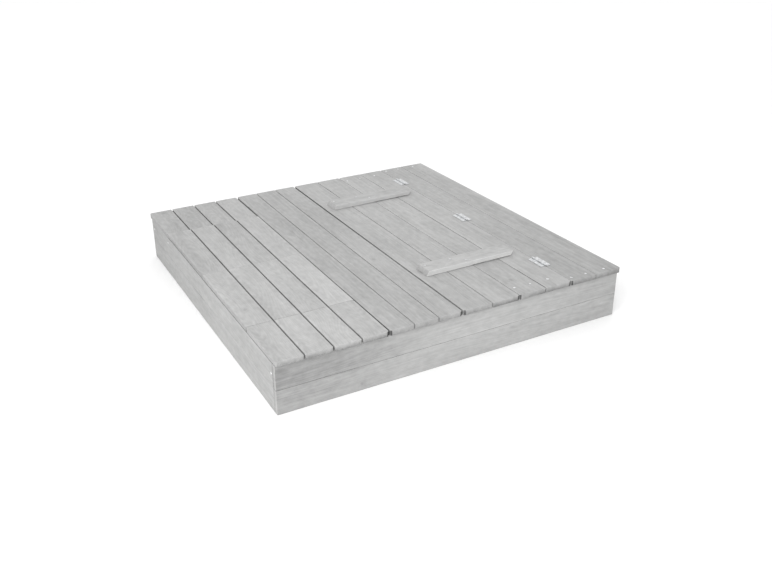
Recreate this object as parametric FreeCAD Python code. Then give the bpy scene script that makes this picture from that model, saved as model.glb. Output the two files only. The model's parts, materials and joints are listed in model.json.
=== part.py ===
import FreeCAD, Part
import math
import os

V = FreeCAD.Vector
os.makedirs("parts", exist_ok=True)

# A low square wooden sandpit with a boarded lid, in millimetres.
# +X runs to the right along the front edge, +Y to the back and +Z up.
# The origin is the middle of the footprint, on the ground.

# ---- whole object ----
LID_WIDTH = 1235.0            # along X, over the lid
LID_DEPTH = 1270.0            # along Y, over the lid
BOARD = 18.0                  # thickness of every board
WALL_BOARD_HEIGHT = 80.5      # each wall is two boards high
WALL_TOP = 2 * WALL_BOARD_HEIGHT
LID_TOP = WALL_TOP + BOARD
SIDE_OVERHANG = 3.0           # lid past the left and right walls
END_OVERHANG = 10.0           # lid past the front and back walls
ARRIS = 1.5                   # rounding along the edges of a board

# ---- lid boards, from the left edge to the right ----
HATCH_BOARD = 85.4            # four of them, over the tubs
HATCH_GAP = 4.6
ROW_SHIFT = 3.0               # front ends and hatches lie this far right of the back ends
COVER_BOARD = 81.4            # three of them, over the sand
COVER_GAP = 2.3
COVER_SHIFT = 1.5             # play of the loose cover to the right
CENTRE_GAP = 5.8              # between the cover and the leaning back
BACK_BOARD = 103.7            # first board of the leaning back
BACK_GAP = 2.2                # beside it
TIGHT_GAP = 1.5               # between the boards of the seat and bench
SEAT_BOARD = 100.8            # the next four boards on the right
OUTER_BOARD = 103.8           # the last one, along the right edge
LOOSE_LIFT = 0.6              # the loose hatches lie this far off the frame
PANEL_LIFT = 0.5              # the cover, seat and back lie this far off it

# ---- frame ----
POST = 34.0
PARTITION = 28.0
BEARER = 45.0                 # square section of the three cross bearers
LEDGE = 18.0                  # square strips that carry the tubs
LEDGE_TOP = 132.0

# ---- divisions along Y ----
HATCH_LENGTH = 402.0
HATCH_MIDDLE = -7.0           # joint between the two hatches
CROSS_GAP = 0.8

# ---- cleats under the loose panels ----
CLEAT = 45.0
SEAT_CLEAT = 40.0
END_CLEAT_IN = 50.0           # from a lid end to the middle of a seat cleat
HATCH_CLEAT_OFFSET = 130.0    # from the middle of a hatch
COVER_CLEAT_PITCH = 450.0

# ---- battens on the leaning back ----
BATTEN_MIDDLE = -7.0
BATTEN_PITCH = 342.0          # each side of the middle
BATTEN_WIDTH = 66.0
BATTEN_LEFT = 22.0
BATTEN_RIGHT = 360.0
BATTEN_SLANT = 10.0           # the ends are cut on a slant, top further right
BATTEN_RELIEF = 2.0           # the underside stands this far off the seat

# ---- butt hinges ----
HINGE_LENGTH = 72.0
HINGE_LEAF = 20.0             # axis to the leaf's edge
LEAF = 1.5
KNUCKLE_R = 3.0
PIN_R = 1.5
BORE_R = 1.56
KNUCKLES = 5
KNUCKLE_GAP = 0.4
AXIS_RISE = 3.5               # axis off the face that the leaves lie on
HINGE_MIDDLE = -7.0
HINGE_PITCH = 463.0

# ---- tubs ----
TUB_WALL = 3.0
TUB_FLOOR = 8.0               # underside of a tub, above the ground
TUB_PLAY = 1.5                # rim to the frame all round
TUB_SIDE_ROOM = 2.0           # tub to ledge
TUB_END_LIP = 20.0            # rim past the tub, front and back
TUB_DRAFT = 7.0               # each side leans in by this much
TUB_CORNER = 40.0

# ---- screws ----
SCREW_HEAD_R = 4.0
SCREW_SHANK_R = 2.0
SCREW_HEAD_DEPTH = 2.4
SCREW_LENGTH = 34.0
BATTEN_SCREW_LENGTH = 32.0
HINGE_SCREW_HEAD_R = 3.1
HINGE_SCREW_SHANK_R = 1.7
DRIVE_LONG = 4.0              # cross recess
DRIVE_WIDE = 0.9
DRIVE_DEEP = 1.0
FIXED_SCREW_IN = 22.0         # from a lid end, above the middle of the wall
CORNER_SCREW_IN = 28.0        # from the outer face of an end wall
CORNER_SCREW_HEIGHT = 125.0
BEARER_SCREW_SHIFT = 12.0

# ---- places worked out from the sizes above ----
LEFT = -LID_WIDTH / 2
RIGHT = LID_WIDTH / 2
FRONT = -LID_DEPTH / 2
BACK = LID_DEPTH / 2
WALL_X = RIGHT - SIDE_OVERHANG          # outer faces of the side walls
WALL_Y = BACK - END_OVERHANG            # outer faces of the end walls
IN_X = WALL_X - BOARD
IN_Y = WALL_Y - BOARD
HATCH_X = [LEFT + i * (HATCH_BOARD + HATCH_GAP) for i in range(4)]
COVER_LEFT = LEFT + 4 * (HATCH_BOARD + HATCH_GAP)
COVER_X = [COVER_LEFT + COVER_SHIFT + i * (COVER_BOARD + COVER_GAP) for i in range(3)]
COVER_RIGHT = COVER_X[-1] + COVER_BOARD
BACK_LEFT = COVER_RIGHT + CENTRE_GAP
SEAT_X = [BACK_LEFT + BACK_BOARD + BACK_GAP + i * (SEAT_BOARD + TIGHT_GAP) for i in range(5)]
PART_MID = COVER_LEFT - HATCH_GAP / 2
PART_LEFT = PART_MID - PARTITION / 2
PART_RIGHT = PART_MID + PARTITION / 2
BEARERS = {
    "front": HATCH_MIDDLE - HATCH_LENGTH,
    "middle": HATCH_MIDDLE,
    "back": HATCH_MIDDLE + HATCH_LENGTH,
}
HINGES_Y = [HINGE_MIDDLE + i * HINGE_PITCH for i in (-1, 0, 1)]
PANEL_UNDER = WALL_TOP + PANEL_LIFT     # the cover, seat and back boards
PANEL_TOP = LID_TOP + PANEL_LIFT
TOP_AXIS_X = (SEAT_X[2] + SEAT_BOARD + SEAT_X[3]) / 2
TOP_AXIS_Z = LID_TOP + AXIS_RISE
UNDER_AXIS_X = (SEAT_X[0] + SEAT_BOARD + SEAT_X[1]) / 2
UNDER_AXIS_Z = PANEL_UNDER - AXIS_RISE


def box(x0, x1, y0, y1, z0, z1):
    """A plain block between two corners."""
    return Part.makeBox(x1 - x0, y1 - y0, z1 - z0, V(x0, y0, z0))


def board(x0, x1, y0, y1, z0, z1):
    """A board with its long edges rounded."""
    solid = box(x0, x1, y0, y1, z0, z1)
    sides = (x1 - x0, y1 - y0, z1 - z0)
    axis = sides.index(max(sides))
    long_edges = []
    for edge in solid.Edges:
        if abs(edge.tangentAt(edge.FirstParameter)[axis]) > 0.99:
            long_edges.append(edge)
    return solid.makeFillet(ARRIS, long_edges)


def screw(head, inward, length=SCREW_LENGTH, head_r=SCREW_HEAD_R, shank_r=SCREW_SHANK_R):
    """A countersunk cross-head screw, its head flush at the point head."""
    cone = Part.makeCone(shank_r, head_r, SCREW_HEAD_DEPTH, V(0, 0, -SCREW_HEAD_DEPTH), V(0, 0, 1))
    shank = Part.makeCylinder(shank_r, length - SCREW_HEAD_DEPTH, V(0, 0, -length), V(0, 0, 1))
    solid = cone.fuse(shank)
    half = DRIVE_LONG / 2
    arm = DRIVE_WIDE / 2
    solid = solid.cut(box(-half, half, -arm, arm, -DRIVE_DEEP, 1))
    solid = solid.cut(box(-arm, arm, -half, half, -DRIVE_DEEP, 1))
    turn = FreeCAD.Rotation(V(0, 0, -1), inward)
    solid.Placement = FreeCAD.Placement(head, turn)
    return solid


def hole_for(head, inward, length=SCREW_LENGTH, head_r=SCREW_HEAD_R, shank_r=SCREW_SHANK_R):
    """The room that a screw takes in the wood."""
    mouth = head + inward * SCREW_HEAD_DEPTH
    cone = Part.makeCone(head_r, shank_r, SCREW_HEAD_DEPTH, head, inward)
    shank = Part.makeCylinder(shank_r, length - SCREW_HEAD_DEPTH, mouth, inward)
    return cone.fuse(shank)


def drilled(solid, places, **sizes):
    """A solid with a hole for the screw at each (head, inward) place."""
    for head, inward in places:
        solid = solid.cut(hole_for(head, inward, **sizes))
    return solid


def screws(places, **sizes):
    return [screw(head, inward, **sizes) for head, inward in places]


def hinge_leaf(axis_x, axis_z, mid_y, side, face, rise, first_knuckle):
    """One leaf of a butt hinge: side is -1 or 1 along X, and face is the level
    of the wood that it lies on, with rise 1 on top and -1 underneath."""
    y0 = mid_y - HINGE_LENGTH / 2
    step = HINGE_LENGTH / KNUCKLES
    plate_z = sorted((face, face + rise * LEAF))
    near = axis_x
    far = axis_x + side * HINGE_LEAF
    plate = box(min(near, far), max(near, far), y0, y0 + HINGE_LENGTH, plate_z[0], plate_z[1])
    clear = KNUCKLE_R + 0.6
    solid = plate
    for i in range(KNUCKLES):
        ya = y0 + i * step
        if i % 2 == first_knuckle:
            barrel = Part.makeCylinder(
                KNUCKLE_R, step - KNUCKLE_GAP, V(axis_x, ya + KNUCKLE_GAP / 2, axis_z), V(0, 1, 0))
            solid = solid.fuse(barrel)
        else:
            room = box(axis_x - clear, axis_x + clear, ya - KNUCKLE_GAP / 2,
                       ya + step + KNUCKLE_GAP / 2, axis_z - clear - 1, axis_z + clear + 1)
            solid = solid.cut(room)
    bore = Part.makeCylinder(BORE_R, HINGE_LENGTH, V(axis_x, y0, axis_z), V(0, 1, 0))
    solid = solid.cut(bore).removeSplitter()
    return solid.Solids[0]


def hinge_pin(axis_x, axis_z, mid_y):
    """A hinge pin with a low head at each end."""
    half = HINGE_LENGTH / 2
    solid = Part.makeCylinder(PIN_R, HINGE_LENGTH, V(axis_x, mid_y - half, axis_z), V(0, 1, 0))
    for end in (-1, 1):
        head = Part.makeCylinder(
            KNUCKLE_R - 0.5, 1.0, V(axis_x, mid_y + end * half, axis_z), V(0, end, 0))
        solid = solid.fuse(head)
    return solid


def leaf_screw_places(axis_x, side, face, rise):
    """Three screws through each leaf on one side of a row of hinges."""
    places = []
    for mid_y in HINGES_Y:
        for along, across in ((-25.0, 12.0), (0.0, 14.5), (25.0, 12.0)):
            head = V(axis_x + side * across, mid_y + along, face + rise * LEAF)
            places.append((head, V(0, 0, -rise)))
    return places


def rounded_rectangle(x0, x1, y0, y1, z, r):
    """A closed wire with round corners in a level plane."""
    corners = [(x1 - r, y1 - r, 0), (x0 + r, y1 - r, 90), (x0 + r, y0 + r, 180), (x1 - r, y0 + r, 270)]
    arcs = []
    for cx, cy, start in corners:
        pts = []
        for turn in (0, 45, 90):
            a = math.radians(start + turn)
            pts.append(V(cx + r * math.cos(a), cy + r * math.sin(a), z))
        arcs.append(Part.Arc(*pts).toShape())
    edges = []
    for i, arc in enumerate(arcs):
        edges.append(arc)
        end = arc.valueAt(arc.LastParameter)
        following = arcs[(i + 1) % 4]
        edges.append(Part.LineSegment(end, following.valueAt(following.FirstParameter)).toShape())
    return Part.Wire(edges)


def tub(bay_back, bay_front):
    """A moulded tub that hangs by its rim between two bearers."""
    x0 = -IN_X + TUB_PLAY
    x1 = PART_LEFT - TUB_PLAY
    y0 = bay_front + TUB_PLAY
    y1 = bay_back - TUB_PLAY
    rim_low = LEDGE_TOP
    rim_top = LEDGE_TOP + TUB_WALL
    side = LEDGE + TUB_SIDE_ROOM - TUB_PLAY
    bx0, bx1 = x0 + side, x1 - side
    by0, by1 = y0 + TUB_END_LIP, y1 - TUB_END_LIP

    def hollow(grow, z_low, z_high):
        top = rounded_rectangle(bx0 + grow, bx1 - grow, by0 + grow, by1 - grow, z_high, TUB_CORNER - grow)
        in_by = grow + TUB_DRAFT
        low = rounded_rectangle(bx0 + in_by, bx1 - in_by, by0 + in_by, by1 - in_by, z_low,
                                TUB_CORNER - grow)
        return Part.makeLoft([low, top], True, True)

    shell = hollow(0, TUB_FLOOR, rim_low)
    rim_face = Part.Face(rounded_rectangle(x0, x1, y0, y1, rim_low, TUB_CORNER / 2))
    rim = rim_face.extrude(V(0, 0, TUB_WALL))
    room = hollow(TUB_WALL, TUB_FLOOR + TUB_WALL, rim_top)
    return shell.fuse(rim).cut(room).removeSplitter().Solids[0]


def batten(mid_y):
    """A batten with slanted ends, relieved below where it passes over the seat."""
    z0 = PANEL_TOP
    z1 = z0 + BOARD
    half = BATTEN_WIDTH / 2
    relief_x = SEAT_X[1] - TIGHT_GAP / 2
    outline = [
        V(BATTEN_LEFT, 0, z0), V(relief_x, 0, z0), V(relief_x, 0, z0 + BATTEN_RELIEF),
        V(BATTEN_RIGHT, 0, z0 + BATTEN_RELIEF), V(BATTEN_RIGHT + BATTEN_SLANT, 0, z1),
        V(BATTEN_LEFT + BATTEN_SLANT, 0, z1)]
    face = Part.Face(Part.makePolygon(outline + outline[:1]))
    face.translate(V(0, mid_y - half, 0))
    return face.extrude(V(0, BATTEN_WIDTH, 0))


def save(name, shape):
    shape.exportStep("parts/" + name + ".step")


def build_walls(holes):
    """Four walls of two boards each: the end walls cover the ends of the side walls."""
    for level, z0 in (("lower", 0.0), ("upper", WALL_BOARD_HEIGHT)):
        z1 = z0 + WALL_BOARD_HEIGHT
        for name, side in (("left", -1), ("right", 1)):
            x0, x1 = sorted((side * IN_X, side * WALL_X))
            solid = board(x0, x1, -IN_Y, IN_Y, z0, z1)
            save(name + "_wall_" + level, drilled(solid, holes[name]))
        for name, side in (("front", -1), ("back", 1)):
            y0, y1 = sorted((side * IN_Y, side * WALL_Y))
            solid = board(-WALL_X, WALL_X, y0, y1, z0, z1)
            save(name + "_wall_" + level, drilled(solid, holes["lid"]))
    save("partition", board(PART_LEFT, PART_RIGHT, -IN_Y, IN_Y, 0, WALL_TOP))


def build_posts(holes):
    for fb, ys in (("front", -1), ("back", 1)):
        for lr, xs in (("left", -1), ("right", 1)):
            x0, x1 = sorted((xs * (IN_X - POST), xs * IN_X))
            y0, y1 = sorted((ys * (IN_Y - POST), ys * IN_Y))
            solid = board(x0, x1, y0, y1, 0, WALL_TOP)
            save("corner_post_" + fb + "_" + lr, drilled(solid, holes[lr]))


def build_bearers(holes):
    for name, y in BEARERS.items():
        solid = board(-IN_X, PART_LEFT, y - BEARER / 2, y + BEARER / 2, WALL_TOP - BEARER, WALL_TOP)
        save("bearer_" + name, drilled(solid, holes["left"]))
    ledges = []
    for near, far in (("front", "middle"), ("middle", "back")):
        y0 = BEARERS[near] + BEARER / 2
        y1 = BEARERS[far] - BEARER / 2
        for x0 in (-IN_X, PART_LEFT - LEDGE):
            ledges.append(board(x0, x0 + LEDGE, y0, y1, LEDGE_TOP - LEDGE, LEDGE_TOP))
    save("tub_ledges", Part.makeCompound(ledges))


def build_fixed_lid(lid_places, leaf_places):
    """Short end boards over the tub bay, and the two fixed bench boards."""
    for i, x0 in enumerate(HATCH_X):
        front_end = BEARERS["front"] - CROSS_GAP / 2
        back_end = BEARERS["back"] + CROSS_GAP / 2
        front_x = x0 + ROW_SHIFT
        front = board(front_x, front_x + HATCH_BOARD, FRONT, front_end, WALL_TOP, LID_TOP)
        back = board(x0, x0 + HATCH_BOARD, back_end, BACK, WALL_TOP, LID_TOP)
        save("front_end_board_%d" % (i + 1), front)
        save("back_end_board_%d" % (i + 1), back)
    for name, x0, width in (("inner", SEAT_X[3], SEAT_BOARD), ("outer", SEAT_X[4], OUTER_BOARD)):
        solid = board(x0, x0 + width, FRONT, BACK, WALL_TOP, LID_TOP)
        solid = drilled(solid, lid_places)
        solid = drilled(solid, leaf_places, **LEAF_SCREW)
        save("bench_board_" + name, solid)


def build_hatch(name, y0, y1):
    """A lift-off hatch of four boards on two cleats."""
    z0 = WALL_TOP + LOOSE_LIFT
    for i, back_x in enumerate(HATCH_X):
        x0 = back_x + ROW_SHIFT
        save(name + "_board_%d" % (i + 1), board(x0, x0 + HATCH_BOARD, y0, y1, z0, z0 + BOARD))
    cleats = []
    for side in (-1, 1):
        mid = (y0 + y1) / 2 + side * HATCH_CLEAT_OFFSET
        cleats.append(board(-IN_X + 6, PART_LEFT - 6, mid - CLEAT / 2, mid + CLEAT / 2, z0 - BOARD, z0))
    save(name + "_cleats", Part.makeCompound(cleats))


def build_cover():
    """A lift-off cover of three boards on three cleats."""
    z0 = PANEL_UNDER
    for i, x0 in enumerate(COVER_X):
        save("cover_board_%d" % (i + 1), board(x0, x0 + COVER_BOARD, FRONT, BACK, z0, z0 + BOARD))
    cleats = []
    for i in (-1, 0, 1):
        mid = i * COVER_CLEAT_PITCH
        cleats.append(board(PART_RIGHT + 6, COVER_RIGHT - 6, mid - CLEAT / 2, mid + CLEAT / 2,
                            z0 - BOARD, z0))
    save("cover_cleats", Part.makeCompound(cleats))


def build_seat(screw_places, top_leaf_places, under_leaf_places):
    z0 = PANEL_UNDER
    for name, x0 in (("first", SEAT_X[1]), ("second", SEAT_X[2])):
        solid = board(x0, x0 + SEAT_BOARD, FRONT, BACK, z0, z0 + BOARD)
        solid = drilled(solid, screw_places)
        solid = drilled(solid, top_leaf_places + under_leaf_places, **LEAF_SCREW)
        save("seat_board_" + name, solid)
    cleats = []
    for side in (-1, 1):
        mid = side * (BACK - END_CLEAT_IN)
        x0 = SEAT_X[1] + 8
        x1 = SEAT_X[2] + SEAT_BOARD - 8
        solid = board(x0, x1, mid - SEAT_CLEAT / 2, mid + SEAT_CLEAT / 2, z0 - BOARD, z0)
        cleats.append(drilled(solid, screw_places))
    save("seat_cleats", Part.makeCompound(cleats))


def build_back(batten_places, under_leaf_places):
    z0 = PANEL_UNDER
    for name, x0, width in (("first", BACK_LEFT, BACK_BOARD), ("second", SEAT_X[0], SEAT_BOARD)):
        solid = board(x0, x0 + width, FRONT, BACK, z0, z0 + BOARD)
        solid = drilled(solid, batten_places, length=BATTEN_SCREW_LENGTH)
        solid = drilled(solid, under_leaf_places, **LEAF_SCREW)
        save("back_board_" + name, solid)
    for name, side in (("front", -1), ("back", 1)):
        save("batten_" + name, drilled(batten(BATTEN_MIDDLE + side * BATTEN_PITCH), batten_places, length=BATTEN_SCREW_LENGTH))


def build_hinges():
    """Three hinges on the lid and three beneath it."""
    rows = (
        ("top_hinge", TOP_AXIS_X, TOP_AXIS_Z, 1,
         (("bench", 1, LID_TOP), ("seat", -1, PANEL_TOP))),
        ("under_hinge", UNDER_AXIS_X, UNDER_AXIS_Z, -1,
         (("seat", 1, PANEL_UNDER), ("back", -1, PANEL_UNDER))),
    )
    for name, axis_x, axis_z, rise, halves in rows:
        for first, (part, side, face) in enumerate(halves):
            places = leaf_screw_places(axis_x, side, face, rise)
            leaves = []
            for mid_y in HINGES_Y:
                leaf = hinge_leaf(axis_x, axis_z, mid_y, side, face, rise, first)
                leaves.append(drilled(leaf, places, **LEAF_SCREW))
            save(name + "_leaves_" + part, Part.makeCompound(leaves))
        pins = [hinge_pin(axis_x, axis_z, mid_y) for mid_y in HINGES_Y]
        save(name + "_pins", Part.makeCompound(pins))


LEAF_SCREW = {"length": 14.0, "head_r": HINGE_SCREW_HEAD_R, "shank_r": HINGE_SCREW_SHANK_R}

down = V(0, 0, -1)
wall_places = {"left": [], "right": []}
for name, side in (("left", -1), ("right", 1)):
    inward = V(-side, 0, 0)
    for end in (-1, 1):
        head = V(side * WALL_X, end * (WALL_Y - CORNER_SCREW_IN), CORNER_SCREW_HEIGHT)
        wall_places[name].append((head, inward))
head = V(-WALL_X, BEARERS["back"] + BEARER_SCREW_SHIFT, WALL_TOP - BEARER / 2)
wall_places["left"].append((head, V(1, 0, 0)))

bench_places = []
seat_places = []
for end in (-1, 1):
    for board_x, across in ((SEAT_X[3], 16.0), (SEAT_X[3], 76.0), (SEAT_X[4], 49.0)):
        bench_places.append((V(board_x + across, end * (BACK - FIXED_SCREW_IN), LID_TOP), down))
    for board_x, across in ((SEAT_X[1], 15.0), (SEAT_X[1], 76.0), (SEAT_X[2], 44.0)):
        seat_places.append((V(board_x + across, end * (BACK - END_CLEAT_IN), PANEL_TOP), down))

batten_places = []
for side in (-1, 1):
    for x, off in ((BACK_LEFT + 45.0, 14.0), (SEAT_X[0] + 38.0, 14.0), (SEAT_X[0] + 83.0, -16.0)):
        head = V(x, BATTEN_MIDDLE + side * BATTEN_PITCH + off, PANEL_TOP + BOARD)
        batten_places.append((head, down))

top_bench = leaf_screw_places(TOP_AXIS_X, 1, LID_TOP, 1)
top_seat = leaf_screw_places(TOP_AXIS_X, -1, PANEL_TOP, 1)
under_seat = leaf_screw_places(UNDER_AXIS_X, 1, PANEL_UNDER, -1)
under_back = leaf_screw_places(UNDER_AXIS_X, -1, PANEL_UNDER, -1)

holes = {"left": wall_places["left"], "right": wall_places["right"], "lid": bench_places}
build_walls(holes)
build_posts(holes)
build_bearers(holes)
build_fixed_lid(bench_places, top_bench)
bays = (("back", BEARERS["back"], BEARERS["middle"]), ("front", BEARERS["middle"], BEARERS["front"]))
for name, far, near in bays:
    build_hatch("hatch_" + name, near + CROSS_GAP / 2, far - CROSS_GAP / 2)
    save("tub_" + name, tub(far - BEARER / 2, near + BEARER / 2))
build_cover()
build_seat(seat_places, top_seat, under_seat)
build_back(batten_places, under_back)
build_hinges()
save("wall_screws", Part.makeCompound(screws(wall_places["left"] + wall_places["right"])))
save("bench_screws", Part.makeCompound(screws(bench_places) + screws(top_bench, **LEAF_SCREW)))
save("seat_screws", Part.makeCompound(screws(seat_places) + screws(top_seat + under_seat, **LEAF_SCREW)))
save("back_screws", Part.makeCompound(
    screws(batten_places, length=BATTEN_SCREW_LENGTH) + screws(under_back, **LEAF_SCREW)))
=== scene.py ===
"""Looks of the covered sandpit: grey-washed boards, zinc hinges and screws, moulded tubs."""
import json
import math
import random

import bmesh
import bpy
from mathutils import Matrix, Vector, noise


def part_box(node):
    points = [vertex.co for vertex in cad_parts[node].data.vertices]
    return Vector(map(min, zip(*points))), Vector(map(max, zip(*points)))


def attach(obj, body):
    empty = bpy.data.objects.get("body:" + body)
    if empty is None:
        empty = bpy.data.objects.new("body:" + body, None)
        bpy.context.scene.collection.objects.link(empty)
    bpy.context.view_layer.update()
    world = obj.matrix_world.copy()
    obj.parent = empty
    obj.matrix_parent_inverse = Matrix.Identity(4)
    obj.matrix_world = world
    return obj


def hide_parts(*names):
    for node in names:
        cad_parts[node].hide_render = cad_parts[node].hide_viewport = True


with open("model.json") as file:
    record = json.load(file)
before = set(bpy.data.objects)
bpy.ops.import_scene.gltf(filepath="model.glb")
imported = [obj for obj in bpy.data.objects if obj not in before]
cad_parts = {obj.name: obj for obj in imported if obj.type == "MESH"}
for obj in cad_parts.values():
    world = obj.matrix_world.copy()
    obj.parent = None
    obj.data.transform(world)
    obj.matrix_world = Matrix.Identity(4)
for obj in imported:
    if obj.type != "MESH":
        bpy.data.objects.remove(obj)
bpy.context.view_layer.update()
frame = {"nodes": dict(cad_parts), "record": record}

MM = 0.001

# ---- camera ----
CAMERA_TARGET = Vector((-0.030, 0.015, 0.097))
CAMERA_AZIMUTH = -26.98
CAMERA_ELEVATION = 24.6
CAMERA_DISTANCE = 3.134
CAMERA_ROLL = -1.06
CAMERA_LENS = 40.1
CAMERA_SHIFT = (0.038, -0.0395)

# ---- boards ----
ARRIS = 1.6 * MM              # rounding of a board's long edges
ARRIS_STEPS = 4
SUPPORT = 1.0 * MM            # flat strip kept beside each rounding
END_ROUNDING = ((0.0, 1.1), (0.35, 0.45), (1.1, 0.0))   # (along, inset) in mm
ACROSS_STEP = 12 * MM
EDGE_STEP = 0.6 * ACROSS_STEP
ALONG_STEP = 18 * MM
END_TRIM = 1.2 * MM           # ends are sawn up to this much short
CORNER = 6.5 * MM             # rounding of a panel's corners, seen from above
CORNER_STRIP = 14 * MM        # a rounded corner draws in this much of the width
CORNER_PARTS = (0.2, 0.45, 0.7)       # shares of CORNER at which a board is divided
SNUG_TRIM = 0.1 * MM          # the same as END_TRIM where boards meet in line
SNUG_ROUNDING = 0.4           # and the share of the usual rounding there
SURFACE_PLAY = 0.28 * MM      # planed faces wander inward by up to this much
BOW = (0.05, 0.35)            # mm, along a board
CUP = (0.05, 0.22)            # mm, across it
END_MARGIN = 0.9              # the inner outline of a sawn end against its outer one

# ---- screws ----
HEAD_DEPTH = 2.5 * MM         # of a countersunk head
HOLE_PLAY = 0.18 * MM         # between a screw and its hole
HOLE_BOTTOM = 5.0 * MM        # the hole is modelled down to here
HOLE_SIDES = 24

# ---- battens ----
BATTEN_SLANT = 10 * MM        # the ends' tops are this much further right
BATTEN_RELIEF = 2 * MM        # the underside's rise over the seat

# ---- kinds of board ----
# Boards along a panel's edge, and which of their long sides it is: their
# corners there are rounded.
PANEL_EDGES = {
    "front_end_board_1": (-1,), "front_end_board_4": (1,), "back_end_board_1": (-1,),
    "back_end_board_4": (1,), "cover_board_1": (-1,), "cover_board_3": (1,),
    "back_board_first": (-1,), "back_board_second": (1,), "seat_board_first": (-1,),
    "seat_board_second": (1,), "bench_board_inner": (-1,), "bench_board_outer": (1,),
}
# Boards whose (front, back) ends meet another board in line keep sharp ends.
SNUG_ENDS = {
    "hatch_front_board": (True, True), "hatch_back_board": (True, True),
    "front_end_board": (False, True), "back_end_board": (True, False),
}
# Boards fitted tightly between others keep their full length.
FITTED = ("front_wall", "back_wall", "left_wall", "right_wall", "partition", "bearer", "tub_ledges",
          "corner_post")
# Boards whose underside is planed away over the left wall.
UNDERCUT_BOARDS = ("front_end_board_1", "hatch_front_board_1", "hatch_back_board_1")
UNDERCUT = 2.6 * MM
UNDERCUT_STRIP = 9 * MM

# ---- tones: against the other boards, below 0 darker and above 0 lighter ----
# Several values are spread along a board, from the front or the left.
# Values spread along a board are partly the board's own tone and partly painted light and shade, following
# the fall-off of the light across the box.
TONES = {
    "front_end_board_1": -0.1, "front_end_board_2": 0.5, "front_end_board_3": 0.4, "front_end_board_4": 0.0,
    "hatch_front_board_1": 0.6, "hatch_front_board_2": 0.4, "hatch_front_board_3": 0.7,
    "hatch_front_board_4": 1.4, "hatch_back_board_1": -0.3, "hatch_back_board_2": 0.3,
    "hatch_back_board_3": (0.0, -1.1), "hatch_back_board_4": 0.6, "back_end_board_1": -1.0,
    "back_end_board_2": -1.1, "back_end_board_3": -0.5, "back_end_board_4": 0.5,
    "cover_board_1": (-1.6, -1.1, -1.1, 0.1), "cover_board_2": (-1.3, -1.2, -0.3),
    "cover_board_3": (-1.0, -0.3, -1.3, -0.2), "back_board_first": (-0.8, 0.0, 0.4),
    "back_board_second": (-0.5, 0.2, 0.5), "seat_board_first": (-0.7, 0.4, 0.8),
    "seat_board_second": (0.0, 0.8, 0.1), "bench_board_inner": (-1.4, -0.4, -0.3),
    "bench_board_outer": (-2.3, -0.7, 0.1, 0.2), "batten_front": (1.4, 1.1, 0.5), "batten_back": 0.5,
    "front_wall_upper": (-4.2, -1.6, 0.8, 1.6, 1.5, -0.2), "front_wall_lower": (-2.2, 0.3, 1.2, 0.2),
    "left_wall_upper": (-0.6, 0.9, 0.0, -1.7), "left_wall_lower": (0.6, 0.6, -0.2, -0.7),
}
OTHER_TONES = (-0.4, 0.4)     # the range that any other board's is drawn from

# Painted shade and light on one long side of a board: which side, and the tone. The outer sides of the lid's
# edge boards get painted shadow under their overhang; the battens' front faces get painted light.
SIDE_LIGHT_AND_SHADE = {
    "front_end_board_1": (-1, -1.0), "hatch_front_board_1": (-1, -1.9), "hatch_back_board_1": (-1, -2.3),
    "back_end_board_1": (-1, -2.6), "bench_board_outer": (1, -1.0), "batten_front": (-1, 6.6),
    "batten_back": (-1, 3.2),
}
SIDE_STRIP = (0.48 * MM, 1.28 * MM)   # a side's tone is whole up to here, and gone here

GAP_SHADE = -3.2                  # painted shade on the long sides that face another board, down in the gaps
GAP_SHADE_START = 1.7 * MM        # how far below the face it begins
GAP_SHADE_RAMP = 1.2 * MM         # and how much further down it is whole
CORNER_SHADE = -8.0           # painted shade added at a panel's rounded corners, in the notch between panels
CORNER_SHADE_AT = 3 * MM      # whole where the corner stands in this far
CORNER_LIFT = 2 * MM          # and rising to the face where it stands in this far
WALL_JOINT_SHADE = (-9.0, -5.0)     # painted shade in the groove where two wall boards meet
LEFT_WALL_JOINT_SHADE = -2.5
WALL_TOP_SHADE = -3.5         # painted shade on the walls' top, under the lid
WALL_SHADE_START = 0.1 * MM

# How much more painted shade a joint between two boards has than the others, along it
# from the front: the board's side, and the values.
LEFT_JOINT = -0.25
CENTRE_JOINT = (0.0, 0.0, 0.0, 0.3, 0.6, 0.7)
SEAT_JOINT = (1.3, 0.5, 0.6, 0.6, 0.4, 0.0)
EXTRA_GAP_SHADE = {
    "front_end_board_1": (1, LEFT_JOINT), "front_end_board_2": (-1, LEFT_JOINT),
    "hatch_front_board_1": (1, LEFT_JOINT), "hatch_front_board_2": (-1, LEFT_JOINT),
    "front_end_board_4": (1, (1.0, 0.6)), "cover_board_1": (-1, (1.0, 0.5, 0.1, 0.0, 0.0, 0.1)),
    "cover_board_3": (1, CENTRE_JOINT), "back_board_first": (-1, CENTRE_JOINT),
    "back_board_second": (1, (1.3, 0.3, 0.1, 0.1, 0.1, 0.0)),
    "seat_board_first": (1, SEAT_JOINT), "seat_board_second": (-1, SEAT_JOINT),
}
EXTRA_GAP_SHADE_TONE = -6.0
EXTRA_GAP_SHADE_FADE = 8 * MM            # it fades out over this much at a board's end

# The painted shadow line at a batten's foot, along it from the left.
FOOT_SHADOW = (0.0, 0.2, 1.0, 1.0, 1.0, 1.0)
FOOT_SHADOW_TONE = -8.0
FOOT_SHADOW_STRIP = (0.6 * MM, 1.8 * MM)

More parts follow.
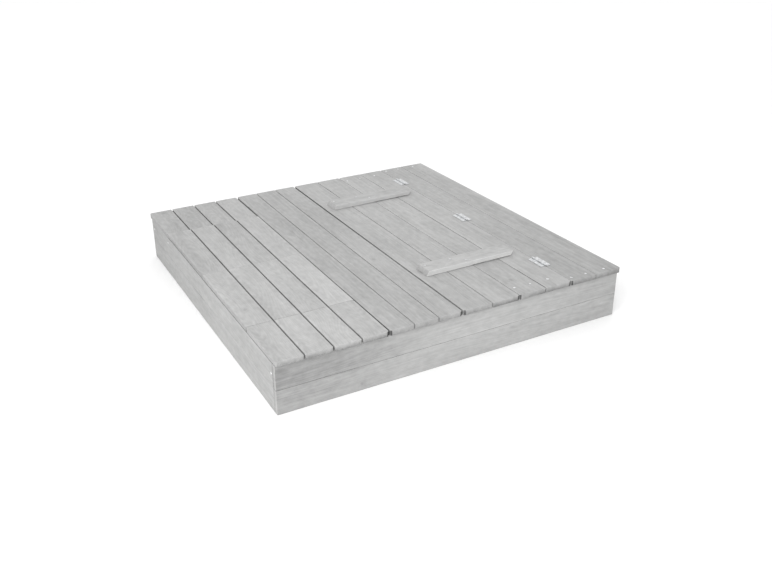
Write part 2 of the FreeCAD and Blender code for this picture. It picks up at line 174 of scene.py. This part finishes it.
# How dark the sawn ends are, spread across the board; any other board's are 1. The darkness is partly end
# grain and partly painted shade.
END_TONES = {
    "front_end_board_1": 0.7, "cover_board_1": 0.5, "cover_board_2": 0.5, "cover_board_3": 0.5,
    "back_board_first": 0.6, "back_board_second": 1.2, "seat_board_first": (0.2, 0.9, 1.2),
    "seat_board_second": 1.1, "bench_board_inner": 0.9, "bench_board_outer": 0.8, "batten_front": 0.6,
    "batten_back": 0.2, "front_wall_upper": -0.8, "front_wall_lower": -0.5, "left_wall_upper": 2.6,
    "left_wall_lower": 1.2, "back_wall_upper": 0.2, "back_wall_lower": 0.2,
}
SNUG_END_TONE = 0.08
SAWN_REACH = 0.5 * MM         # points this near an end belong to its sawn face
SAWN_DARK_AND_SHADE = (1.4, 1.05)            # how dark an end is at its foot, and how much less at its top: end grain, and painted shade deepening towards the foot
LID_SAWN_DARK_AND_SHADE = (1.5, 1.5)
WORN_REACH = 3.2 * MM         # a worn edge is this wide, both its faces together

# ---- wood ----
ATTRIBUTES = ("grain", "ring", "look")
RING_STEP = 4.2 * MM
PITH_ACROSS = (-0.6, 0.6)             # where a board's pith lies, in board widths
PITH_BELOW = (12, 70)                 # and in mm
PITH_LEAN = (-25, 25)
PITH_WANDER = 8 * MM
KNOT_CELL = (0.47, 0.19, 1.0)         # metres along, across and through a board
KNOT_STRETCH = (0.33, 0.19, 0.0)
KNOT_RADIUS = (2.6 * MM, 6 * MM)      # the smallest, and how much larger the largest is
KNOTLESS = 0.6                        # share of the cells without one

# ---- stage ----
FLOOR_SIZE = 14
FLOOR_GREY = 0.96
SURROUND = 1.04
KEY_PLACE = Vector((-2.3, -2.3, 2.2))
KEY_TARGET = Vector((-0.2, -0.2, 0.1))
KEY_SIZE = 1.8
KEY_POWER = 58


def unit(value):
    """The value held between 0 and 1."""
    return max(0.0, min(1.0, value))


def fade(distance, strip):
    """1 up to the strip's first place and 0 from its second."""
    full, none = strip
    return unit((none - distance) / (none - full))


def spread(values, part):
    """The value at a part of the way along evenly spaced values."""
    if not isinstance(values, tuple):
        return values
    place = unit(part) * (len(values) - 1)
    i = min(int(place), len(values) - 2)
    return values[i] + (values[i + 1] - values[i]) * (place - i)


# ---------------------------------------------------------------- materials
class Graph:
    """A material and short ways to add nodes to it."""

    def __init__(self, name):
        self.material = bpy.data.materials.new(name)
        self.material.use_nodes = True
        self.tree = self.material.node_tree
        self.shader = self.tree.nodes["Principled BSDF"]

    def add(self, kind, inputs=(), **settings):
        node = self.tree.nodes.new(kind)
        for key, value in settings.items():
            setattr(node, key, value)
        for key, value in dict(inputs).items():
            self.put(node.inputs[key], value)
        return node

    def put(self, socket, value):
        if isinstance(value, bpy.types.NodeSocket):
            self.tree.links.new(value, socket)
        else:
            socket.default_value = value

    def math(self, operation, a, b=0.0, c=0.0):
        return self.add("ShaderNodeMath", {0: a, 1: b, 2: c}, operation=operation).outputs[0]

    def vector(self, operation, a, b=(0.0, 0.0, 0.0)):
        node = self.add("ShaderNodeVectorMath", {0: a, 1: b}, operation=operation)
        return node.outputs["Value" if operation == "LENGTH" else "Vector"]

    def ramp(self, value, low, high):
        """A smooth step from 0 at low to 1 at high."""
        ends = {"Value": value, "From Min": low, "From Max": high}
        return self.add("ShaderNodeMapRange", ends, interpolation_type="SMOOTHSTEP").outputs["Result"]

    def noise(self, vector, scale=1.0, detail=2.0, rough=0.5):
        settings = {"Vector": vector, "Scale": scale, "Detail": detail, "Roughness": rough}
        return self.add("ShaderNodeTexNoise", settings).outputs["Fac"]

    def stretched(self, vector, scales, detail=2.0, rough=0.5):
        """Noise with a scale for each direction."""
        return self.noise(self.vector("MULTIPLY", vector, scales), detail=detail, rough=rough)

    def attribute(self, name):
        return self.add("ShaderNodeAttribute", attribute_name=name).outputs["Vector"]

    def parts(self, vector):
        node = self.add("ShaderNodeSeparateXYZ", {0: vector})
        return node.outputs[0], node.outputs[1], node.outputs[2]

    def centred(self, value, middle=0.5):
        return self.math("SUBTRACT", value, middle)

    def bump(self, height, distance, strength=1.0):
        node = self.add("ShaderNodeBump", {"Height": height, "Distance": distance, "Strength": strength})
        self.put(self.shader.inputs["Normal"], node.outputs["Normal"])

    def colour(self, base, shade):
        """The base colour, made lighter or darker by the shade."""
        grey = self.add("ShaderNodeCombineXYZ", {0: shade, 1: shade, 2: shade}).outputs[0]
        self.put(self.shader.inputs["Base Color"], self.vector("MULTIPLY", base, grey))


def wood(name, base, wash=1.0, contrast=1.0):
    """Softwood under a thin grey wash. Boards carry their own coordinates in
    three attributes: grain (along, across, through), ring (from the pith) and
    look (tone, with painted shade and light at sides and gaps; sawn end, with
    painted shade at its foot; worn edge)."""
    g = Graph(name)
    grain, ring, look = (g.attribute(name) for name in ATTRIBUTES)
    tone, sawn_end_and_shade, worn = g.parts(look)

    # knots: the nearest of a loose field of points
    flat = g.vector("MULTIPLY", g.vector("DIVIDE", grain, KNOT_CELL), (1.0, 1.0, 0.0))
    points = g.add("ShaderNodeTexVoronoi", {"Vector": flat, "Scale": 1.0, "Randomness": 0.85},
                   voronoi_dimensions="2D")
    away = g.vector("MULTIPLY", g.vector("SUBTRACT", flat, points.outputs["Position"]), KNOT_STRETCH)
    wobble = g.centred(g.stretched(grain, (55.0, 55.0, 55.0)))
    distance = g.math("ADD", g.vector("LENGTH", away), g.math("MULTIPLY", wobble, 5 * MM))
    pick_size, pick_shown, _ = g.parts(points.outputs["Color"])
    shown = g.math("GREATER_THAN", pick_shown, KNOTLESS)
    radii = g.math("DIVIDE", distance, g.math("MULTIPLY_ADD", pick_size, KNOT_RADIUS[1], KNOT_RADIUS[0]))
    inner = g.math("MULTIPLY", shown, g.ramp(radii, 1.05, 0.8))
    rim = g.ramp(g.math("ABSOLUTE", g.centred(radii, 1.0)), 0.22, 0.0)
    halo = g.math("MULTIPLY", shown, g.ramp(radii, 3.6, 0.6))
    own_rings = g.math("SINE", g.math("DIVIDE", distance, 0.45 * MM))
    clear = g.math("SUBTRACT", 1.0, inner)

    # growth rings, pushed aside by the knots
    slow = g.stretched(grain, (1.3, 9.0, 9.0), detail=1.0)
    fine = g.stretched(grain, (9.0, 90.0, 90.0))
    reach = g.vector("LENGTH", g.vector("MULTIPLY", ring, (0.0, 1.0, 1.0)))
    for push, amount in ((slow, 16 * MM), (fine, 1.5 * MM), (halo, 9 * MM)):
        reach = g.math("MULTIPLY_ADD", push, amount, reach)
    phase = g.math("FRACT", g.math("DIVIDE", reach, RING_STEP))
    late = g.math("MULTIPLY", g.ramp(phase, 0.15, 0.85), g.ramp(phase, 1.0, 0.88))
    late = g.math("MULTIPLY", late, clear)

    # fibres, wash and wear
    fibre = g.stretched(grain, (16.0, 900.0, 900.0), detail=3.0, rough=0.65)
    streak = g.stretched(grain, (2.2, 120.0, 120.0))
    cloud = g.stretched(grain, (4.0, 14.0, 14.0), detail=3.0, rough=0.6)
    mottle = g.stretched(grain, (36.0, 62.0, 62.0), detail=4.0, rough=0.6)
    speck = g.ramp(g.stretched(grain, (60.0, 260.0, 260.0), detail=1.0), 0.70, 0.78)
    split = g.ramp(g.stretched(grain, (3.0, 210.0, 60.0), detail=1.0), 0.735, 0.76)
    split = g.math("MULTIPLY", split, clear)

    shade = g.math("MULTIPLY_ADD", tone, 0.075, 1.0)
    for value, middle, amount in ((late, 0.35, -0.075 * contrast), (fibre, 0.5, 0.28 * contrast),
                                  (streak, 0.5, 0.26 * contrast), (cloud, 0.5, 0.34 * wash),
                                  (mottle, 0.5, 0.42 * wash), (slow, 0.5, 0.14 * wash)):
        shade = g.math("ADD", shade, g.math("MULTIPLY", g.centred(value, middle), amount))
    for value, amount in ((speck, -0.05), (split, -0.20), (halo, -0.05)):
        shade = g.math("MULTIPLY_ADD", value, amount, shade)
    dark = g.math("MULTIPLY_ADD", own_rings, 0.04, 0.15)
    dark = g.math("MULTIPLY", inner, g.math("MULTIPLY_ADD", rim, 0.12, dark))
    shade = g.math("SUBTRACT", shade, dark)
    shade = g.math("MULTIPLY_ADD", worn, 0.05, shade)
    end_grain_and_shade_depth = g.math("MULTIPLY_ADD", fibre, -0.2, 0.42)
    shade = g.math("SUBTRACT", shade, g.math("MULTIPLY", sawn_end_and_shade, end_grain_and_shade_depth))
    shade = g.math("MAXIMUM", shade, 0.12)
    g.colour(base, shade)

    rough = g.math("MULTIPLY_ADD", late, -0.10, 0.74)
    rough = g.math("MULTIPLY_ADD", cloud, 0.10, rough)
    g.put(g.shader.inputs["Roughness"], rough)
    g.shader.inputs["Specular IOR Level"].default_value = 0.32

    relief = g.math("MULTIPLY_ADD", late, 0.45, g.math("MULTIPLY", fibre, 0.55))
    relief = g.math("MULTIPLY_ADD", inner, 0.5, relief)
    relief = g.math("MULTIPLY_ADD", split, -1.6, relief)
    g.bump(relief, 0.16 * MM)
    return g.material


def zinc(name, base, rough):
    """Zinc-plated steel: faint spangle, rolled streaks and small scuffs."""
    g = Graph(name)
    place = g.add("ShaderNodeTexCoord").outputs["Object"]
    spangle = g.add("ShaderNodeTexVoronoi", {"Vector": place, "Scale": 260.0}).outputs["Color"]
    patch, _, _ = g.parts(spangle)
    streak = g.stretched(place, (900.0, 60.0, 900.0))
    cloud = g.noise(place, scale=45.0, detail=3.0)
    shade = g.math("MULTIPLY_ADD", patch, 0.34, 0.80)
    shade = g.math("MULTIPLY_ADD", g.centred(cloud), 0.22, shade)
    g.colour(base, shade)
    g.shader.inputs["Metallic"].default_value = 1.0
    g.put(g.shader.inputs["Roughness"], g.math("MULTIPLY_ADD", cloud, 0.22, rough))
    g.bump(g.math("ADD", streak, patch), 0.03 * MM, 0.6)
    return g.material


def plastic(name, base):
    """Rotomoulded plastic: fine orange peel, dusty patches and scuffs."""
    g = Graph(name)
    place = g.add("ShaderNodeTexCoord").outputs["Object"]
    peel = g.noise(place, scale=420.0, detail=2.0)
    dust = g.noise(place, scale=9.0, detail=4.0, rough=0.6)
    scuff = g.ramp(g.stretched(place, (30.0, 400.0, 90.0)), 0.66, 0.74)
    shade = g.math("MULTIPLY_ADD", dust, 0.30, 0.85)
    shade = g.math("MULTIPLY_ADD", scuff, 0.22, shade)
    g.colour(base, shade)
    g.put(g.shader.inputs["Roughness"], g.math("MULTIPLY_ADD", dust, 0.25, 0.38))
    g.bump(peel, 0.12 * MM, 0.7)
    return g.material


# ---------------------------------------------------------------- frame helpers
def solids(node):
    """The separate solids of a node: for each, its vertex positions."""
    mesh = frame["nodes"][node].data
    spots = {}
    owner = []
    for v in mesh.vertices:
        key = tuple(round(c, 6) for c in v.co)
        owner.append(spots.setdefault(key, len(spots)))
    root = list(range(len(spots)))

    def find(i):
        while root[i] != i:
            root[i] = root[root[i]]
            i = root[i]
        return i

    for edge in mesh.edges:
        a, b = (find(owner[i]) for i in edge.vertices)
        root[a] = b
    groups = {}
    for key, i in spots.items():
        groups.setdefault(find(i), []).append(Vector(key))
    return sorted(groups.values(), key=lambda pts: tuple(round(c, 4) for c in corners(pts)[0]))


def corners(points):
    low = Vector([min(p[i] for p in points) for i in range(3)])
    high = Vector([max(p[i] for p in points) for i in range(3)])
    return low, high


def find_screws(*nodes):
    """(head centre, inward direction, head radius, shank radius) of each screw."""
    found = []
    for node in nodes:
        for points in solids(node):
            low, high = corners(points)
            size = high - low
            axis = max(range(3), key=lambda i: size[i])
            others = [i for i in range(3) if i != axis]
            middle = (low + high) / 2

            def reach(end):
                ring = [p for p in points if abs(p[axis] - end) < 0.1 * MM]
                return max(math.hypot(*(p[i] - middle[i] for i in others)) for p in ring)

            at_low, at_high = reach(low[axis]), reach(high[axis])
            head = middle.copy()
            inward = Vector((0, 0, 0))
            head[axis] = high[axis] if at_high > at_low else low[axis]
            inward[axis] = -1 if at_high > at_low else 1
            found.append((head, inward, max(at_low, at_high), min(at_low, at_high)))
    return found


# ---------------------------------------------------------------- boards
def flat_places(length, step):
    """Places along a flat, with a short strip kept at each end."""
    inner = length - 2 * SUPPORT
    count = max(1, round(inner / step))
    return [SUPPORT + inner * i / count for i in range(count + 1)]


def section(width, thick):
    """Points round a board's rounded cross-section."""
    r = min(ARRIS, thick * 0.4)
    half_w, half_t = width / 2 - r, thick / 2 - r
    flats = ((0, (-half_w, -half_t), 2 * half_w, ACROSS_STEP),
             (90, (half_w, -half_t), 2 * half_t, EDGE_STEP),
             (180, (half_w, half_t), 2 * half_w, ACROSS_STEP),
             (270, (-half_w, half_t), 2 * half_t, EDGE_STEP))
    ring = []
    for turn, start, run, step in flats:
        a = math.radians(turn)
        ahead = (math.cos(a), math.sin(a))
        out = (math.sin(a), -math.cos(a))
        for s in flat_places(run, step):
            ring.append((start[0] + ahead[0] * s + out[0] * r, start[1] + ahead[1] * s + out[1] * r))
        corner = (start[0] + ahead[0] * run, start[1] + ahead[1] * run)
        for k in range(ARRIS_STEPS + 1):
            b = a - math.pi / 2 + (math.pi / 2) * k / ARRIS_STEPS
            ring.append((corner[0] + math.cos(b) * r, corner[1] + math.sin(b) * r))
    return ring


def stations(length, trim, sharp):
    """(place, inset) along a board, close together at its rounded ends."""
    near, far = sharp
    stop_at = length - trim[1]
    first = [(trim[0] + near * along * MM, near * inset * MM) for along, inset in END_ROUNDING]
    last = [(stop_at - far * along * MM, far * inset * MM) for along, inset in reversed(END_ROUNDING)]
    start, stop = first[-1][0] + CORNER, last[0][0] - CORNER
    first += [(first[-1][0] + part * CORNER, 0.0) for part in CORNER_PARTS]
    last = [(last[0][0] - part * CORNER, 0.0) for part in reversed(CORNER_PARTS)] + last
    count = max(2, round((stop - start) / ALONG_STEP))
    middle = [(start + (stop - start) * i / count, 0.0) for i in range(count + 1)]
    return first + middle + last


def corner_inset(from_end):
    """How far a rounded corner stands in, this far from the board's end."""
    if from_end >= CORNER:
        return 0.0
    return CORNER - math.sqrt(max(0.0, CORNER ** 2 - (CORNER - max(0.0, from_end)) ** 2))


def board_mesh(name, low, high, rng, trim, sharp, edges, form):
    """A sawn and planed board between two corners, very slightly out of true."""
    size = high - low
    along = max(range(3), key=lambda i: size[i])
    across, through = sorted((i for i in range(3) if i != along), key=lambda i: -size[i])
    length, width, thick = size[along], size[across], size[through]
    ring = section(width, thick)
    bow = rng.uniform(*BOW) * MM
    cup = rng.uniform(*CUP) * MM
    drift = Vector([rng.uniform(-50, 50) for _ in range(3)])
    bm = bmesh.new()
    rows = []
    for u, inset in stations(length, trim, sharp):
        row = []
        cut = corner_inset(min(u - trim[0], length - trim[1] - u))
        for v, w in ring:
            pv = v * (1 - 2 * inset / width)
            pw = w * (1 - 2 * inset / thick)
            strip = abs(v) - (width / 2 - CORNER_STRIP)
            if strip > 0 and math.copysign(1, v) in edges:
                pv -= math.copysign(cut * strip / CORNER_STRIP, v)
            spot = Vector((u * 9, v * 30, w * 30)) + drift
            dent = (0.5 + 0.5 * noise.noise(spot)) * SURFACE_PLAY
            pv -= math.copysign(dent, v) if abs(v) > width / 2 - ARRIS else 0.0
            pw -= math.copysign(dent, w) if abs(w) > thick / 2 - ARRIS else 0.0
            pw -= bow * math.sin(math.pi * u / length) + cup * (2 * v / width) ** 2
            pw = max(pw, -thick / 2)
            co = Vector((0, 0, 0))
            co[along] = low[along] + u
            co[across] = (low[across] + high[across]) / 2 + pv
            co[through] = (low[through] + high[through]) / 2 + pw
            row.append(bm.verts.new(form(co) if form else co))
        rows.append(row)
    count = len(ring)
    for a, b in zip(rows, rows[1:]):
        for i in range(count):
            j = (i + 1) % count
            bm.faces.new((a[i], b[i], b[j], a[j]))
    for row in (rows[0], rows[-1]):
        middle = sum((v.co for v in row), Vector()) / count
        inner = [bm.verts.new(middle + (v.co - middle) * END_MARGIN) for v in row]
        for i in range(count):
            j = (i + 1) % count
            bm.faces.new((row[i], row[j], inner[j], inner[i]))
        bm.faces.new(inner)
    bmesh.ops.recalc_face_normals(bm, faces=bm.faces)
    mesh = bpy.data.meshes.new(name)
    bm.to_mesh(mesh)
    bm.free()
    for polygon in mesh.polygons:
        polygon.use_smooth = True
    return mesh, (along, across, through)


def bore_holes(obj, screws, low, high):
    """Countersunk holes where screws enter the board's own faces."""
    cutters = bmesh.new()
    for head, inward, head_r, shank_r in screws:
        axis = max(range(3), key=lambda i: abs(inward[i]))
        inside = all(low[i] - MM < head[i] < high[i] + MM for i in range(3) if i != axis)
        face = high[axis] if inward[axis] < 0 else low[axis]
        if not inside or abs(head[axis] - face) > MM:
            continue
        turn = inward.to_track_quat("Z", "Y").to_matrix().to_4x4()
        steps = ((-2 * MM, head_r), (0.0, head_r), (HEAD_DEPTH, shank_r), (HOLE_BOTTOM, shank_r))
        rows = []
        for depth, r in steps:
            row = []
            for i in range(HOLE_SIDES):
                a = math.tau * i / HOLE_SIDES
                point = Vector(((r + HOLE_PLAY) * math.cos(a), (r + HOLE_PLAY) * math.sin(a), depth))
                row.append(cutters.verts.new(Matrix.Translation(head) @ turn @ point))
            rows.append(row)
        for a, b in zip(rows, rows[1:]):
            for i in range(HOLE_SIDES):
                j = (i + 1) % HOLE_SIDES
                cutters.faces.new((a[i], a[j], b[j], b[i]))
        cutters.faces.new(rows[0])
        cutters.faces.new(rows[-1])
    if cutters.faces:
        bmesh.ops.recalc_face_normals(cutters, faces=cutters.faces)
        mesh = bpy.data.meshes.new("cutters")
        cutters.to_mesh(mesh)
        tool = bpy.data.objects.new("cutters", mesh)
        bpy.context.scene.collection.objects.link(tool)
        modifier = obj.modifiers.new("holes", "BOOLEAN")
        modifier.operation = "DIFFERENCE"
        modifier.solver = "EXACT"
        modifier.object = tool
        bpy.context.view_layer.update()
        cut = bpy.data.meshes.new_from_object(obj.evaluated_get(bpy.context.evaluated_depsgraph_get()))
        obj.modifiers.clear()
        obj.data = cut
        bpy.data.objects.remove(tool)
    cutters.free()


def joint_grimes(node):
    """Painted shade on the long sides that meet another board, and how deep it starts."""
    if "wall" in node:
        meeting = LEFT_WALL_JOINT_SHADE if node.startswith("left") else WALL_JOINT_SHADE
        sides = {-1: meeting, 1: WALL_TOP_SHADE} if node.endswith("upper") else {1: meeting}
        return sides, WALL_SHADE_START
    if "board" in node:
        return {-1: GAP_SHADE, 1: GAP_SHADE}, GAP_SHADE_START
    return {}, GAP_SHADE_START


def paint(obj, low, high, axes, rng, node, trim, snug):
    """Stores the board's own coordinates and looks for the wood material; the looks hold painted shade in
    gaps, joints and at ends, and painted light and shade on some sides.
    """
    length, width, thick = ((high - low)[k] for k in axes)
    tones = TONES.get(node, rng.uniform(*OTHER_TONES))
    shaded_sides, start = joint_grimes(node)
    face_low = node.startswith(("front_wall", "left_wall"))
    open_side, side_shading = SIDE_LIGHT_AND_SHADE.get(node, (0, 0.0))
    deeper_shaded_side, gap_shade_profile = EXTRA_GAP_SHADE.get(node, (0, 0.0))
    end_tones = tuple(SNUG_END_TONE if end else END_TONES.get(node, 1.0) for end in snug)
    foot_grain_and_shade, top_less_shade = LID_SAWN_DARK_AND_SHADE if "board" in node else SAWN_DARK_AND_SHADE
    shift = Vector([rng.uniform(-40, 40) for _ in range(3)])
    pith_across = rng.uniform(*PITH_ACROSS) * width
    pith_below = rng.uniform(*PITH_BELOW) * MM
    lean = rng.uniform(*PITH_LEAN) * MM
    grain, ring, look = (obj.data.attributes.new(name, "FLOAT_VECTOR", "POINT") for name in ATTRIBUTES)
    for i, vertex in enumerate(obj.data.vertices):
        u, v, w = (vertex.co[k] - low[k] for k in axes)
        if node.startswith("batten"):
            u = (u - BATTEN_SLANT * w / thick) * length / (length - BATTEN_SLANT)
        part = u / length
        grain.data[i].vector = Vector((u, v, w)) + shift
        wander = PITH_WANDER * math.sin(5 * part + shift.x)
        ring.data[i].vector = (0, v - width / 2 - pith_across - lean * part, w + pith_below + wander)

        tone = spread(tones, part)
        side = -1 if v < width / 2 else 1
        to_side = min(v, width - v)
        from_end = min(u - trim[0], length - trim[1] - u)
        cut = corner_inset(from_end) if side in PANEL_EDGES.get(node, ()) else 0.0
        beside = fade(to_side - cut, SIDE_STRIP)
        # the open side gets its painted light and shade; sides in gaps, joints and notches get painted shade
        if side == open_side:
            tone += (side_shading - tone) * beside
        elif side in shaded_sides:
            gap_shade_share = spread(gap_shade_profile, part) * min(1.0, from_end / EXTRA_GAP_SHADE_FADE) if side == deeper_shaded_side else 0.0
            depth = w if face_low else thick - w
            deep = unit((depth - start * (1 - gap_shade_share)) / GAP_SHADE_RAMP + cut / CORNER_LIFT)
            cornered = min(1.0, cut / CORNER_SHADE_AT)
            shade_tone = spread(shaded_sides[side], part) + CORNER_SHADE * cornered + EXTRA_GAP_SHADE_TONE * gap_shade_share
            tone += (shade_tone - tone) * beside * deep
        if node.startswith("batten"):
            # painted shadow line along the batten's foot, where it meets the boards
            tone += (FOOT_SHADOW_TONE - tone) * fade(w, FOOT_SHADOW_STRIP) * spread(FOOT_SHADOW, part)
        # sawn end: end grain, darker towards the foot with painted shade
        sawn_and_shaded = 0.0
        if from_end < SAWN_REACH:
            end_tone = end_tones[0 if part < 0.5 else 1]
            sawn_and_shaded = spread(end_tone, v / width) * (foot_grain_and_shade - top_less_shade * w / thick)
        worn = max(0.0, 1 - (to_side + min(w, thick - w)) / WORN_REACH)
        look.data[i].vector = (tone, sawn_and_shaded, worn)


def slanted_batten(low, high, relief_from):
    """The batten's form: ends on a slant and a relieved underside."""
    length, thick = high.x - low.x, high.z - low.z

    def form(co):
        rise = (co.z - low.z) / thick
        x = low.x + (co.x - low.x) * (length - BATTEN_SLANT) / length + BATTEN_SLANT * rise
        z = co.z
        if x > relief_from:
            z = high.z - (high.z - co.z) * (1 - BATTEN_RELIEF / thick)
        return Vector((x, co.y, z))

    return form


def undercut(low):
    """The form of a board planed away beneath its left side."""

    def form(co):
        from_side = co.x - low.x
        if from_side < UNDERCUT_STRIP and co.z < low.z + UNDERCUT:
            return Vector((co.x, co.y, co.z + UNDERCUT * (1 - from_side / UNDERCUT_STRIP)))
        return co

    return form


def dress_node(node, body, material, screws):
    """Replaces a wooden node with one detailed board for each of its solids."""
    pieces = []
    for i, points in enumerate(solids(node)):
        low, high = corners(points)
        rng = random.Random(node + str(i))
        form = None
        if node.startswith("batten"):
            form = slanted_batten(low, high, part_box("seat_board_first")[0][0] - 1 * MM)
        if node in UNDERCUT_BOARDS:
            form = undercut(low)
        snug = next((ends for name, ends in SNUG_ENDS.items() if node.startswith(name)), (False, False))
        trim = tuple(rng.uniform(0, SNUG_TRIM if end else END_TRIM) for end in snug)
        if node.startswith(FITTED):
            trim = (0.0, 0.0)
        sharp = tuple(SNUG_ROUNDING if end else 1.0 for end in snug)
        mesh, axes = board_mesh(node + "_wood", low, high, rng, trim, sharp, PANEL_EDGES.get(node, ()), form)
        obj = bpy.data.objects.new(node + "_wood", mesh)
        bpy.context.scene.collection.objects.link(obj)
        bore_holes(obj, screws, low, high)
        paint(obj, low, high, axes, rng, node, trim, snug)
        obj.data.materials.clear()
        obj.data.materials.append(material)
        pieces.append(obj)
    main = pieces[0]
    if len(pieces) > 1:
        with bpy.context.temp_override(active_object=main, selected_editable_objects=pieces):
            bpy.ops.object.join()
    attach(main, body)
    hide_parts(node)


def dress():
    """Gives every node its material, and every wooden node its boards."""
    looks = {
        "wall_wood": wood("wall_wood_grey_wash", (0.375, 0.375, 0.372)),
        "lid_wood": wood("lid_wood_grey_wash", (0.40, 0.40, 0.397)),
        "frame_wood": wood("frame_wood_grey_wash", (0.34, 0.338, 0.33), wash=1.3, contrast=1.2),
        "hinge_zinc": zinc("hinge_zinc_plate", (0.68, 0.69, 0.70), 0.30),
        "screw_steel": zinc("screw_zinc_plate", (0.90, 0.91, 0.92), 0.20),
        "back_screws": zinc("batten_screw_zinc_plate", (0.78, 0.79, 0.80), 0.30),
        "tub_plastic": plastic("tub_plastic_grey", (0.16, 0.17, 0.18)),
    }
    slots = {part["node"]: part["material_slot"] for part in frame["record"]["subparts"]}
    screws = find_screws("wall_screws", "bench_screws", "seat_screws", "back_screws")
    for body, nodes in frame["record"]["behaviour"]["bodies"].items():
        for node in nodes:
            slot = slots[node]
            if slot.endswith("wood"):
                dress_node(node, body, looks[slot], screws)
            else:
                mesh = frame["nodes"][node].data
                mesh.materials.clear()
                mesh.materials.append(looks.get(node, looks[slot]))


# ---------------------------------------------------------------- stage
def make_stage():
    """A pale floor, a white surround and one large soft light."""
    bm = bmesh.new()
    bmesh.ops.create_grid(bm, x_segments=8, y_segments=8, size=FLOOR_SIZE)
    mesh = bpy.data.meshes.new("floor")
    bm.to_mesh(mesh)
    bm.free()
    floor = bpy.data.objects.new("floor", mesh)
    bpy.context.scene.collection.objects.link(floor)
    g = Graph("floor_pale")
    g.shader.inputs["Base Color"].default_value = (FLOOR_GREY, FLOOR_GREY, FLOOR_GREY, 1)
    g.shader.inputs["Roughness"].default_value = 0.9
    mesh.materials.append(g.material)

    world = bpy.data.worlds.new("studio")
    world.use_nodes = True
    background = world.node_tree.nodes["Background"]
    background.inputs["Color"].default_value = (1, 1, 1, 1)
    background.inputs["Strength"].default_value = SURROUND
    bpy.context.scene.world = world

    data = bpy.data.lights.new("key", "AREA")
    data.shape = "RECTANGLE"
    data.size = data.size_y = KEY_SIZE
    data.energy = KEY_POWER
    light = bpy.data.objects.new("key", data)
    light.location = KEY_PLACE
    light.rotation_euler = (KEY_TARGET - KEY_PLACE).to_track_quat("-Z", "Y").to_euler()
    bpy.context.scene.collection.objects.link(light)


def make_camera():
    """A camera that looks at its target from an azimuth and an elevation."""
    az, el, roll = (math.radians(a) for a in (CAMERA_AZIMUTH, CAMERA_ELEVATION, CAMERA_ROLL))
    back = Vector((math.sin(az) * math.cos(el), -math.cos(az) * math.cos(el), math.sin(el)))
    right = (-back).cross(Vector((0, 0, 1))).normalized()
    up = right.cross(-back)
    tilted_right = math.cos(roll) * right + math.sin(roll) * up
    tilted_up = -math.sin(roll) * right + math.cos(roll) * up
    turn = Matrix((tilted_right, tilted_up, back)).transposed().to_4x4()
    data = bpy.data.cameras.new("camera")
    data.sensor_width = 36
    data.lens = CAMERA_LENS
    data.shift_x, data.shift_y = CAMERA_SHIFT
    camera = bpy.data.objects.new("camera", data)
    camera.matrix_world = Matrix.Translation(CAMERA_TARGET + back * CAMERA_DISTANCE) @ turn
    bpy.context.scene.collection.objects.link(camera)
    bpy.context.scene.camera = camera


bpy.context.scene.view_settings.view_transform = "Standard"
make_stage()
make_camera()
dress()
bpy.context.view_layer.update()
